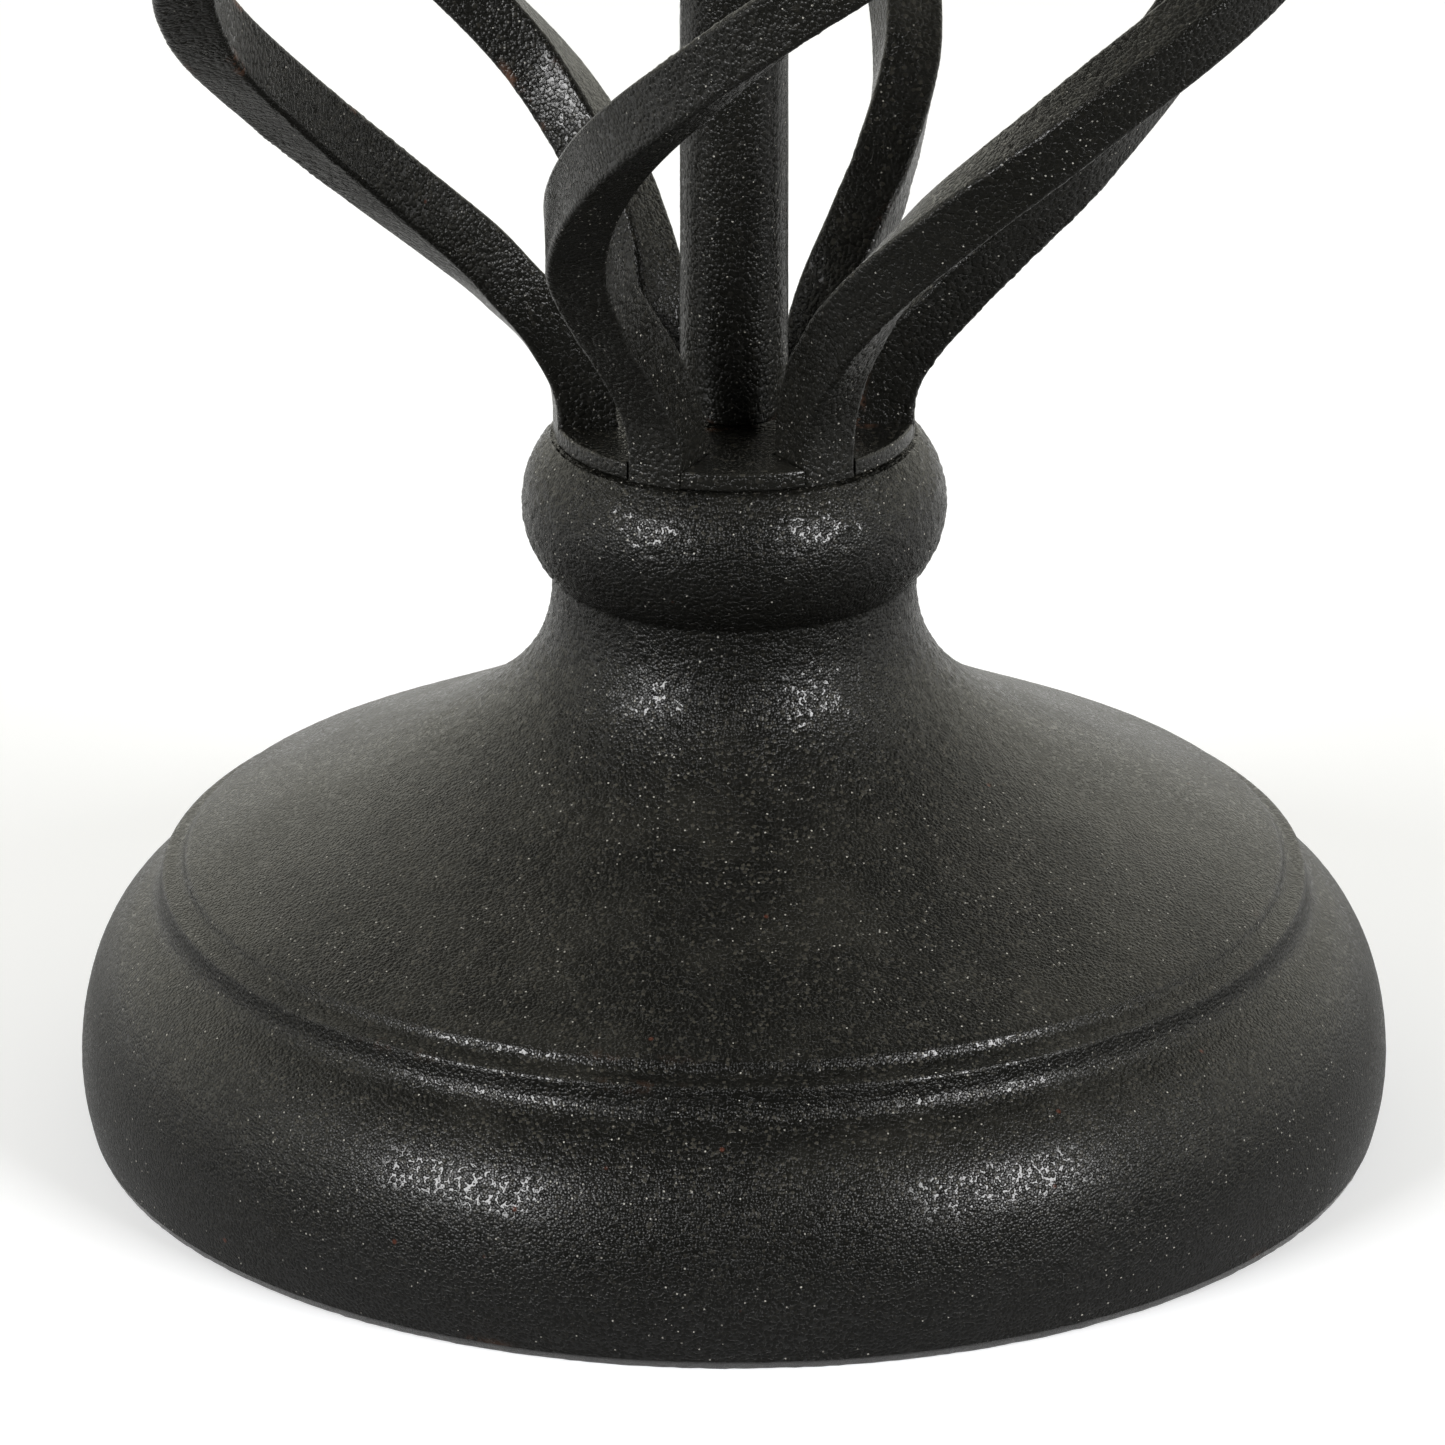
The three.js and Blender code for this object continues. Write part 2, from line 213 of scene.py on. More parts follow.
def blisters(points, size, seed):
    """Rounded grains of the coat, from 0 on the flat between them to about 1 on the tallest."""
    cell = np.floor(points / size)
    height = np.zeros(len(points))
    for corner in range(27):
        step = np.array([corner % 3, corner // 3 % 3, corner // 9]) - 1
        home = cell + step
        centre = np.stack([cell_value(home, seed + k) for k in range(3)], axis=-1)
        reach = 0.35 + 0.4 * cell_value(home, seed + 3)
        away = np.linalg.norm(points / size - home - centre, axis=-1) / reach
        height = np.maximum(height, np.clip(1 - away * away, 0, 1) * reach / 0.75)
    return height


# ---- mesh helpers ----


def finish_mesh(name, vertices, faces, edge, material, crease=50):
    """Makes the object: metres, smooth faces, sharp creases, and the worn-edge value of each point."""
    mesh = bpy.data.meshes.new(name)
    mesh.from_pydata((np.asarray(vertices) * MM).tolist(), [], faces)
    worn = mesh.attributes.new("edge", "FLOAT", "POINT")
    worn.data.foreach_set("value", np.asarray(edge, np.float32))
    shape = bmesh.new()
    shape.from_mesh(mesh)
    bmesh.ops.remove_doubles(shape, verts=shape.verts, dist=1e-7)
    bmesh.ops.recalc_face_normals(shape, faces=shape.faces)
    shape.to_mesh(mesh)
    shape.free()
    mesh.polygons.foreach_set("use_smooth", [True] * len(mesh.polygons))
    mesh.set_sharp_from_angle(angle=math.radians(crease))
    mesh.materials.append(material)
    piece = bpy.data.objects.new(name, mesh)
    bpy.context.scene.collection.objects.link(piece)
    return piece


def place(piece, slot, *nodes):
    """The piece rides on the one body and stands for its CAD nodes. The slot is not used."""
    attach(piece, "root")
    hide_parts(*nodes)


def spaced(line, spacing):
    """The open line with points added so that none are further apart than spacing."""
    line = np.asarray(line, float)
    points = []
    for start, end in zip(line, line[1:]):
        pieces = max(1, math.ceil(np.linalg.norm(end - start) / spacing))
        points.extend(start + (end - start) * k / pieces for k in range(pieces))
    return np.array(points + [line[-1]])


def softened(line, spacing, softness):
    """The open line in steps of about spacing, its corners softened as under a thick coat."""
    fine = spaced(line, spacing)
    reach = math.ceil(3 * softness / spacing)
    weights = np.exp(-0.5 * (np.arange(-reach, reach + 1) * spacing / softness) ** 2)
    weights /= weights.sum()
    longer = np.pad(fine, ((reach, reach), (0, 0)), "edge")
    return np.stack([np.convolve(longer[:, k], weights, "valid") for k in range(2)], axis=1)


def closed(outline, spacing):
    """The closed outline with points added in the same way."""
    outline = np.asarray(outline, float)
    return spaced(np.concatenate([outline, outline[:1]]), spacing)[:-1]


def arc(centre, radius, start, end, steps):
    """Points on a circle's arc, in degrees."""
    angles = np.radians(np.linspace(start, end, steps + 1))
    return np.stack([centre[0] + radius * np.cos(angles), centre[1] + radius * np.sin(angles)], axis=1)


def bezier(start, pull_start, pull_end, end, steps):
    """Points on a cubic curve."""
    t = np.linspace(0, 1, steps + 1)[:, None]
    corners = [np.asarray(p, float) for p in (start, pull_start, pull_end, end)]
    weights = ((1 - t) ** 3, 3 * t * (1 - t) ** 2, 3 * t * t * (1 - t), t ** 3)
    return sum(w * c for w, c in zip(weights, corners))


def rounded(outline, radius, steps=3):
    """The closed outline with each corner rounded by at most radius."""
    outline = np.asarray(outline, float)
    points = []
    backs = np.roll(outline, 1, axis=0) - outline
    onward = np.roll(outline, -1, axis=0) - outline
    for corner, back, on in zip(outline, backs, onward):
        room = min(radius, 0.45 * np.linalg.norm(back), 0.45 * np.linalg.norm(on))
        if corner[0] < 1e-6 or room < 1e-6:
            points.append(corner)
            continue
        start = corner + back / np.linalg.norm(back) * room
        end = corner + on / np.linalg.norm(on) * room
        for k in range(steps + 1):
            t = k / steps
            points.append((1 - t) ** 2 * start + 2 * t * (1 - t) * corner + t * t * end)
    return np.array(points)


def sharpness(outline, reach=1.2):
    """How far each point of a closed outline stands on an outward bend, from 0 to 1."""
    gap = np.linalg.norm(np.roll(outline, -1, axis=0) - outline, axis=1)
    along = np.concatenate([[0], np.cumsum(gap)])
    total = along[-1]
    loop = np.concatenate([along[:-1] - total, along[:-1], along])
    wide = np.concatenate([outline, outline, outline, outline[:1]])

    def at(shift):
        spot = along[:-1] + shift
        return np.stack([np.interp(spot, loop, wide[:, k]) for k in range(2)], axis=1)

    before = outline - at(-reach)
    after = at(reach) - outline
    turn = before[:, 0] * after[:, 1] - before[:, 1] * after[:, 0]
    size = np.linalg.norm(before, axis=1) * np.linalg.norm(after, axis=1) + 1e-9
    return np.clip(turn / size, 0, 1)


def revolve(name, outline, segments, material, relief=None, centre=(0, 0), lift=0, twist=None,
            crease=50):
    """A turned body from a closed outline of (radius, height), anticlockwise round the solid.

    relief(points) moves each point along its normal; twist(radius, height, angle) changes radii."""
    outline = np.asarray(outline, float)
    angles = np.arange(segments) * 2 * math.pi / segments
    radius = np.repeat(outline[:, 0], segments).reshape(-1, segments)
    height = np.repeat(outline[:, 1], segments).reshape(-1, segments)
    turn = np.broadcast_to(angles, radius.shape)
    if twist:
        radius = twist(radius, height, turn)
    forward = np.roll(outline, -1, axis=0) - np.roll(outline, 1, axis=0)
    normal = np.stack([forward[:, 1], -forward[:, 0]], axis=1)
    normal /= np.linalg.norm(normal, axis=1)[:, None] + 1e-12
    points = np.stack([radius * np.cos(turn), radius * np.sin(turn), height], axis=-1)
    points += np.array([centre[0], centre[1], lift])
    if relief:
        move = relief(points.reshape(-1, 3)).reshape(radius.shape)
        move = np.where(radius < 1e-6, 0, move)
        out = np.stack([
            normal[:, :1] * np.cos(turn), normal[:, :1] * np.sin(turn),
            np.broadcast_to(normal[:, 1:], radius.shape)], axis=-1)
        points = points + out * move[..., None]
    rings = len(outline)
    index = np.arange(rings * segments).reshape(rings, segments)
    below = index[:, :, None]
    above = np.roll(index, -1, axis=0)[:, :, None]
    faces = np.concatenate([
        below, np.roll(below, -1, axis=1), np.roll(above, -1, axis=1), above], axis=2)
    on_axis = (outline[:, 0] < 1e-6) & (np.roll(outline[:, 0], -1) < 1e-6)
    faces = faces[~on_axis].reshape(-1, 4)
    edge = np.repeat(sharpness(outline), segments)
    return finish_mesh(name, points.reshape(-1, 3), faces.tolist(), edge, material, crease)


# ---- materials ----


class Shader:
    """Builds a node tree with short lines."""

    def __init__(self, tree):
        self.tree = tree
        tree.nodes.clear()

    def put(self, kind, settings=None, **inputs):
        """Adds a node, with its settings and the values or links of its inputs."""
        node = self.tree.nodes.new(kind)
        for key, value in (settings or {}).items():
            setattr(node, key, value)
        for key, value in inputs.items():
            self.feed(node, key, value)
        return node

    def feed(self, node, key, value):
        """Sets or links an input named by its socket, with _ for a space, or by its number."""
        number = key[1:]
        socket = node.inputs[int(number)] if number.isdigit() else node.inputs[key.replace("_", " ")]
        if isinstance(value, bpy.types.NodeSocket):
            self.tree.links.new(value, socket)
        else:
            socket.default_value = value

    def maths(self, operation, a, b=0.5, c=0.5, clamp=False):
        """One Math node."""
        return self.put("ShaderNodeMath", {"operation": operation, "use_clamp": clamp},
                        _0=a, _1=b, _2=c).outputs[0]

    def times(self, a, b):
        """The product of two values or sockets."""
        return self.maths("MULTIPLY", a, b)

    def round_top(self, away, steepness):
        """1 at a cell's centre, less by the square of the distance, and never below 0."""
        return self.maths("MULTIPLY_ADD", self.times(away, away), -steepness, 1, clamp=True)

    def ramp(self, value, low, high, to_low=0.0, to_high=1.0, shape="SMOOTHSTEP"):
        """value from low..high becomes to_low..to_high, held at the ends."""
        node = self.put("ShaderNodeMapRange", {"interpolation_type": shape},
                        _0=value, _1=low, _2=high, _3=to_low, _4=to_high)
        return node.outputs[0]

    def mix(self, share, a, b):
        """Colour a where share is 0, colour b where it is 1."""
        node = self.put("ShaderNodeMix", {"data_type": "RGBA"}, _0=share, _6=a, _7=b)
        return node.outputs[2]

    def noise(self, place, size_mm, detail=2.0, rough=0.5, shift=0.0):
        """Smooth noise from 0 to 1, with features about size_mm apart."""
        node = self.put("ShaderNodeTexNoise", Vector=place, Scale=1 / (size_mm * MM), Detail=detail,
                        Roughness=rough, Distortion=shift)
        return node.outputs["Fac"]

    def cells(self, place, size_mm, randomness=1.0):
        """Distance to the nearest cell centre, in cell sizes, and a random number for the cell."""
        node = self.put("ShaderNodeTexVoronoi", Vector=place, Scale=1 / (size_mm * MM),
                        Randomness=randomness)
        parts = self.put("ShaderNodeSeparateColor", _0=node.outputs["Color"])
        return node.outputs["Distance"], parts.outputs

    def shifted(self, place, offset):
        """The same texture coordinates, moved, so that a second texture doesn't repeat the first."""
        return self.put("ShaderNodeVectorMath", {"operation": "ADD"}, _0=place, _1=offset).outputs[0]

    def surface(self, shader_output):
        self.put("ShaderNodeOutputMaterial", Surface=shader_output)


def new_material(name):
    """An empty material and the builder of its nodes."""
    material = bpy.data.materials.new(name)
    material.use_nodes = True
    return material, Shader(material.node_tree)


# Colours are linear. Sizes of noise and cells are in millimetres; shifts of a texture are in metres.
COAT_IOR = 1.45
COAT_DARK = (0.0026, 0.0026, 0.0022)
COAT_WARM = (0.0040, 0.0039, 0.0031)
COAT_GREY = (0.0060, 0.0059, 0.0050)
DUST_FILM = (0.040, 0.038, 0.031, 1)
PALE_GRAIN = (0.045, 0.042, 0.034, 1)
GRAIN_TINT = (0.42, 0.42, 0.42, 1)
LINT = (0.30, 0.29, 0.26, 1)
RUST = (0.060, 0.018, 0.010, 1)
RUBBED = (0.075, 0.038, 0.024, 1)
GRAIN = {"steepness": 2.2, "lowest": 0.35, "patch": 26, "pale_from": 0.76, "dullness": 0.12}
CRUMB = {"size": 0.5, "steepness": 4, "height": 0.24}
FILM = {"size": 3, "height": 0.12}
LINT_SPECK = {"cell": 1, "radius": 0.15, "few": 0.92, "many": 0.5, "dullness": 0.3}
RUST_SPECK = {"cell": 7, "radius": 0.03, "faded": 0.075, "chance": 0.2, "strength": 0.8}


def grain_height(s, place, size, patchy):
    """Height of the sand texture, 0 to about 1: crowded round caps with narrow flat land between.

    Also returns how much of a cap each spot is, for the caps are duller than the land, and which
    caps are pale."""
    away, pick = s.cells(place, size)
    cap = s.maths("SQRT", s.round_top(away, GRAIN["steepness"]))
    tall = s.ramp(pick[0], 0, 1, GRAIN["lowest"], 1, "LINEAR")
    patch = s.ramp(s.noise(place, GRAIN["patch"], 2), 0.36, 0.62, 1 - patchy, 1)
    caps = s.times(s.times(cap, tall), patch)
    pale = s.times(s.ramp(cap, 0.2, 0.9), s.ramp(pick[1], GRAIN["pale_from"], 1))
    away, pick = s.cells(s.shifted(place, (0.37, 0.11, 0.23)), size * CRUMB["size"])
    raised = s.ramp(pick[1], 0.2, 1, 0, CRUMB["height"], "LINEAR")
    crumbs = s.times(s.round_top(away, CRUMB["steepness"]), raised)
    film = s.times(s.noise(place, size * FILM["size"], 3), FILM["height"])
    height = s.maths("ADD", s.maths("ADD", caps, crumbs), film)
    return height, s.times(s.ramp(cap, 0, 0.25), patch), pale


def black_pigment(s, place, tone):
    """The coat's own colour: near black, warmer and greyer in places."""
    dark, warm, grey = (
        tuple(tone * c for c in shade) + (1,) for shade in (COAT_DARK, COAT_WARM, COAT_GREY))
    colour = s.mix(s.noise(place, 34, 4, 0.6), dark, warm)
    return s.mix(s.times(s.noise(place, 3.1, 3), 0.5), colour, grey)


def settled_dust(s, place, colour, pale):
    """A thin film and paler grains, more of both where the surface faces up."""
    normal = s.put("ShaderNodeNewGeometry").outputs["Normal"]
    upward = s.put("ShaderNodeSeparateXYZ", _0=normal).outputs["Z"]
    settled = s.ramp(upward, 0.15, 0.95, 0, 0.6)
    dusty = s.times(s.ramp(s.noise(place, 17, 5, 0.65), 0.42, 0.7), settled)
    colour = s.mix(s.times(dusty, 0.35), colour, DUST_FILM)
    return s.mix(s.times(pale, s.ramp(upward, -0.2, 0.8, 0.1, 0.75)), colour, PALE_GRAIN)


def lint_specks(s, place):
    """White lint in patches: 1 on a speck, and how pale each speck is."""
    away, pick = s.cells(s.shifted(place, (0.9, 0.4, 0.7)), LINT_SPECK["cell"])
    patch = s.noise(s.shifted(place, (3.1, 1.7, 0.2)), 30, 2)
    least = s.ramp(patch, 0.42, 0.66, LINT_SPECK["few"], LINT_SPECK["many"])
    near = s.maths("LESS_THAN", away, LINT_SPECK["radius"])
    lint = s.times(near, s.maths("GREATER_THAN", pick[2], least))
    return lint, s.times(lint, s.ramp(pick[0], 0, 1, 0.35, 1))


def rust_specks(s, place):
    """Small rusty specks, 1 in the middle of each, in some of the cells."""
    away, pick = s.cells(s.shifted(place, (0.2, 0.8, 0.5)), RUST_SPECK["cell"])
    rusty = s.maths("GREATER_THAN", pick[1], 1 - RUST_SPECK["chance"])
    return s.times(s.ramp(away, RUST_SPECK["radius"], RUST_SPECK["faded"], 1, 0), rusty)


def rubbed_arrises(s, place, rub):
    """Where a stretch of an arris is rubbed through to the primer."""
    edge = s.put("ShaderNodeAttribute", {"attribute_name": "edge"}).outputs["Fac"]
    stretch = s.ramp(s.noise(s.shifted(place, (1.3, 2.2, 0.6)), 24, 1), 0.62, 0.70)
    return s.times(s.times(edge, stretch), s.ramp(s.noise(place, 4, 4, 0.7), 0.48, 0.6, 0, rub))


def powder_coat(name, grain_mm, depth_mm, patchy, roughness, rub, tone):
    """Black sand-textured powder coat with dust, rusty specks and a few rubbed arrises."""
    material, s = new_material(name)
    place = s.put("ShaderNodeTexCoord").outputs["Object"]
    height, dull, pale = grain_height(s, place, grain_mm, patchy)
    lint, paleness = lint_specks(s, place)
    colour = settled_dust(s, place, black_pigment(s, place, tone), pale)
    colour = s.mix(paleness, colour, LINT)
    colour = s.mix(s.times(rust_specks(s, place), RUST_SPECK["strength"]), colour, RUST)
    colour = s.mix(rubbed_arrises(s, place, rub), colour, RUBBED)

    shine = s.ramp(s.noise(place, 12, 3), 0.3, 0.7, roughness + 0.04, roughness - 0.03)
    shine = s.maths("MULTIPLY_ADD", dull, GRAIN["dullness"], shine)
    shine = s.maths("MULTIPLY_ADD", lint, LINT_SPECK["dullness"], shine, clamp=True)
    relief = s.put("ShaderNodeBump", Height=height, Distance=depth_mm * MM, Strength=1.0)
    coat = s.put("ShaderNodeBsdfPrincipled", Base_Color=colour, Roughness=shine,
                 Normal=relief.outputs[0], IOR=COAT_IOR,
                 Specular_Tint=s.mix(dull, (1, 1, 1, 1), GRAIN_TINT))
    s.surface(coat.outputs[0])
    return material


WOOL_DARK = (0.004, 0.004, 0.0045, 1)
WOOL_WORN = (0.020, 0.019, 0.018, 1)
WOOL_LINT = (0.09, 0.085, 0.08, 1)


def felt_material():
    """Pressed black wool: matted fibres, a little lint."""
    material, s = new_material("black_felt")
    place = s.put("ShaderNodeTexCoord").outputs["Object"]
    fibres = s.noise(place, 0.5, 6, 0.75, 2.5)
    tufts = s.noise(place, 2.4, 3)
    colour = s.mix(s.ramp(fibres, 0.35, 0.75), WOOL_DARK, WOOL_WORN)
    colour = s.mix(s.ramp(s.noise(place, 0.9, 5, 0.8, 1.5), 0.7, 0.78), colour, WOOL_LINT)
    relief = s.put("ShaderNodeBump", Height=s.maths("ADD", fibres, tufts), Distance=0.25 * MM,
                   Strength=1.0)
    felt = s.put("ShaderNodeBsdfPrincipled", Base_Color=colour,
                 Roughness=s.ramp(tufts, 0.3, 0.7, 0.86, 0.98), Normal=relief.outputs[0],
                 Sheen_Weight=0.35, Sheen_Roughness=0.6, Sheen_Tint=(1, 1, 1, 1))
    s.surface(felt.outputs[0])
    return material


ZINC_DULL = (0.47, 0.47, 0.44, 1)
ZINC_YELLOW = (0.60, 0.58, 0.50, 1)
ZINC_SCUFFED = (0.22, 0.21, 0.19, 1)
ZINC_WORN = (0.72, 0.71, 0.68, 1)


def zinc_material():
    """Zinc-plated steel: turning marks, cloudy passivation and darker scuffs."""
    material, s = new_material("zinc_plated_steel")
    place = s.put("ShaderNodeTexCoord").outputs["Object"]
    edge = s.put("ShaderNodeAttribute", {"attribute_name": "edge"}).outputs["Fac"]
    clouds = s.noise(place, 3.5, 4, 0.6, 0.6)
    colour = s.mix(s.ramp(clouds, 0.35, 0.65), ZINC_DULL, ZINC_YELLOW)
    scuffs = s.ramp(s.noise(place, 0.8, 5, 0.8), 0.6, 0.75, 0, 0.6)
    colour = s.mix(scuffs, colour, ZINC_SCUFFED)
    colour = s.mix(s.times(edge, 0.5), colour, ZINC_WORN)
    stretched = s.put("ShaderNodeMapping", Vector=place, Scale=(1, 1, 14)).outputs[0]
    marks = s.noise(stretched, 2.2, 3)
    relief = s.put("ShaderNodeBump", Height=s.maths("ADD", marks, scuffs), Distance=0.03 * MM,
                   Strength=1.0)
    steel = s.put("ShaderNodeBsdfPrincipled", Base_Color=colour, Metallic=1.0,
                  Roughness=s.ramp(clouds, 0.3, 0.7, 0.28, 0.45), Normal=relief.outputs[0])
    s.surface(steel.outputs[0])
    return material


# Painted shade: the dark colour that the object sees on the floor in front of it.
FLOOR_PAINTED_SHADE = (0.05, 0.05, 0.048, 1)
FLOOR_TONE = (0.92, 0.925, 0.95, 1)
FLOOR_SHADE = (0.9016, 0.9065, 0.931, 1)
# Painted light: how strongly the floor glows close to the object and far from it.
FLOOR_GLOW = {"near": 0.4, "far": 1.6, "weak": 0.17, "strong": 0.75}
# Painted shade: where the floor that the object sees goes from dark in front to pale behind and beside,
# and how pale it is kept close round the base.
FLOOR_SHADED_FRONT = {"front": -0.2, "behind": 0.6, "beside": 0.5}
FLOOR_SHADE_LIFTED_NEAR = {"start": 0.12, "end": 0.17, "share": 0.45}


def floor_material():
    """Pale matt studio table, made brighter further out by a painted glow. Rays from the object see
    painted shade on it in front.
    """
    material, s = new_material("pale_floor")
    place = s.put("ShaderNodeTexCoord").outputs["Object"]
    out = s.put("ShaderNodeVectorMath", {"operation": "LENGTH"}, _0=place).outputs["Value"]
    # Painted light: the floor glows, weakly near the object and more further out, so that it stays
    # white where the softboxes' light falls off.
    glow = s.ramp(out, FLOOR_GLOW["near"], FLOOR_GLOW["far"], FLOOR_GLOW["weak"], FLOOR_GLOW["strong"])
    tone = s.mix(s.noise(place, 400, 2), FLOOR_TONE, FLOOR_SHADE)
    matt = s.put("ShaderNodeBsdfPrincipled", Base_Color=tone, Roughness=0.9, Specular_IOR_Level=0.2,
                 Emission_Color=(1, 1, 1, 1), Emission_Strength=glow)
    spot = s.put("ShaderNodeSeparateXYZ", _0=place).outputs
    # Painted shade: rays from the object see the floor dark in front and pale behind, beside and close
    # round the base. The camera sees only the plain pale floor.
    depth = s.maths("MULTIPLY_ADD", s.maths("ABSOLUTE", spot["X"]), FLOOR_SHADED_FRONT["beside"], spot["Y"])
    far = s.ramp(depth, FLOOR_SHADED_FRONT["front"], FLOOR_SHADED_FRONT["behind"])
    near = s.ramp(out, FLOOR_SHADE_LIFTED_NEAR["start"], FLOOR_SHADE_LIFTED_NEAR["end"], FLOOR_SHADE_LIFTED_NEAR["share"], 0)
    share = s.maths("MAXIMUM", far, near)
    painted_shade_floor = s.put("ShaderNodeBsdfDiffuse", Color=s.mix(share, FLOOR_PAINTED_SHADE, FLOOR_TONE))
    seen = s.put("ShaderNodeLightPath").outputs["Is Camera Ray"]
    both = s.put("ShaderNodeMixShader", _0=seen, _1=painted_shade_floor.outputs[0], _2=matt.outputs[0])
    s.surface(both.outputs[0])
    return material


CAST_COAT = powder_coat(
    "black_cast_coat", grain_mm=0.56, depth_mm=0.20, patchy=0.1, roughness=0.14, rub=0.3, tone=0.85)
BAR_COAT = powder_coat(
    "black_bar_coat", grain_mm=0.76, depth_mm=0.25, patchy=0.6, roughness=0.17, rub=0.9, tone=1.5)
FELT = felt_material()
ZINC = zinc_material()

# ---- the base ----


def base_outside():
    """The casting's outside, from the rim up to the seat of the hub disc."""
    t = np.linspace(0, 1, 8, endpoint=False)
    wall = np.stack([
        WALL_RADIUS - (WALL_RADIUS - RIM_RADIUS) * (1 - t) ** 2,
        BASE_BOTTOM + (WALL_FULL_HEIGHT - BASE_BOTTOM) * t], axis=1)
    turn = np.radians(np.linspace(0, SHOULDER["turn"], 40))
    shoulder = np.stack([
        SHOULDER["centre"] + (WALL_RADIUS - SHOULDER["centre"]) * np.cos(turn),
        WALL_FULL_HEIGHT + SHOULDER["height"] * np.sin(turn)], axis=1)
    foot = [(LOWER_STEP["radius"], LOWER_STEP["top"] - LOWER_STEP_SIDE)]
    lower, upper = (
        arc((step["radius"] - STEP_ROUNDING, step["top"] - STEP_ROUNDING), STEP_ROUNDING, 0, 75, 6)
        for step in (LOWER_STEP, UPPER_STEP))
    ledge = [(UPPER_STEP["radius"], LOWER_STEP["top"] + LEDGE_RISE)]
    dome = bezier(upper[-1], DOME_PULL["low"], DOME_PULL["high"], (NECK_RADIUS, DOME_TOP), 60)[1:]
    bead_centre = BEAD["radius"] - BEAD["arc"]
    bead_turn = math.degrees(math.acos((NECK_RADIUS - bead_centre) / BEAD["arc"]))
    bead = arc((bead_centre, BEAD["height"]), BEAD["arc"], -bead_turn, bead_turn, 30)
    top = [(NECK_RADIUS - 0.5, CASTING_TOP - 0.2), (NECK_RADIUS - 0.8, CASTING_TOP)]
    return np.concatenate([wall, shoulder, foot, lower, ledge, upper, dome, bead, top])


def base_inside():
    """The hollow of the casting, from the bolt hole down to the rim."""
    hole = BOLT["radius"] + FIT_GAP
    dome = bezier(
        (UPPER_STEP["radius"] - CASTING_WALL, UPPER_STEP["top"] - CASTING_WALL),
        (DOME_PULL["low"][0] - 2, DOME_PULL["low"][1] - CASTING_WALL),
        (DOME_PULL["high"][0] - CASTING_WALL, DOME_PULL["high"][1] - CASTING_WALL),
        (NECK_RADIUS - CASTING_WALL, DOME_TOP), 8)[::-1]
    return np.concatenate([
        [(hole, CASTING_TOP), (hole, NECK_CEILING), (NECK_RADIUS - CASTING_WALL, NECK_CEILING)],
        dome,
        [(SHOULDER["centre"], WALL_FULL_HEIGHT + SHOULDER["height"] - CASTING_WALL),
         (WALL_RADIUS - CASTING_WALL - 2, 2 * WALL_FULL_HEIGHT),
         (WALL_RADIUS - CASTING_WALL, WALL_FULL_HEIGHT),
         (RIM_RADIUS - CASTING_WALL, BASE_BOTTOM)]])


def cast_relief(points):
    """Sand-cast unevenness with grains that stand out at the neck; it only ever lowers the surface."""
    waves = 0.06 * soft_noise(points, size=21, seed=3) + 0.015 * soft_noise(points, size=7, seed=4)
    out = np.hypot(points[:, 0], points[:, 1])
    grainy = np.where(points[:, 2] > UPPER_STEP["top"], np.interp(out, [35, 60], [0.2, 0.05]), 0.05)
    return waves - 0.08 - grainy + grainy * blisters(points, size=1.1, seed=5)


def build_base():
    """The casting; its outline is drawn most finely at the two soft steps and the slender neck."""
    outside = base_outside()
    necked = (outside[:, 0] < SLENDER_RADIUS) & (outside[:, 1] > UPPER_STEP["top"])
    slender = int(np.argmax(necked))
    low = int(np.argmax(outside[:, 1] > STEP_BAND["from_height"]))
    high = int(np.argmax(outside[:, 0] < STEP_BAND["to_radius"]))
    outline = np.concatenate([
        spaced(outside[:low + 1], BASE_SPACING)[:-1],
        softened(outside[low:high + 1], STEP_SPACING, COAT_SOFTNESS),
        spaced(outside[high:slender + 1], BASE_SPACING)[1:],
        spaced(outside[slender:], NECK_SPACING)[1:],
        base_inside()])
    segments = round(2 * math.pi * WALL_RADIUS / (1.2 * BASE_SPACING))
    base = revolve("cast_base", outline, segments, CAST_COAT, cast_relief)
    place(base, "cast_base", "base_shell")


def felt_relief(points):
    """The frayed surface of the wool; it only ever lowers the surface."""
    return -0.08 + 0.08 * soft_noise(points, size=1.1, seed=8)


def build_felt():
    """The ring of wool under the rim."""
    inner, outer, top = FELT_HIGH[0] - FELT_WIDTH, FELT_HIGH[0], FELT_HIGH[2]
    corners = [(inner, 0), (outer, 0), (outer, top), (inner, top)]
    outline = closed(rounded(corners, FELT_ROUNDING), FINE_SPACING)
    felt = revolve("felt_pad", outline, ROUND_STEPS["felt"], FELT, felt_relief)
    place(felt, "felt", "felt_ring")


def thread(radius, height, turn):
    """Cuts a screw thread into the shank of the bolt."""
    wave = (height / BOLT["pitch"] - turn / (2 * math.pi)) % 1
    depth = THREAD_DEPTH * np.abs(2 * wave - 1)
    shank = np.abs(radius - BOLT["radius"]) < 0.01
    threaded = shank & (height > NECK_CEILING + PLAIN_SHANK)
    return np.where(threaded, radius - depth, radius)


def hexagon(across, radius, turn):
    """The radius, held within a hexagon of that size across its flats."""
    flat = across / 2 / np.cos((turn + math.pi / 6) % (math.pi / 3) - math.pi / 6)
    return np.minimum(radius, flat)


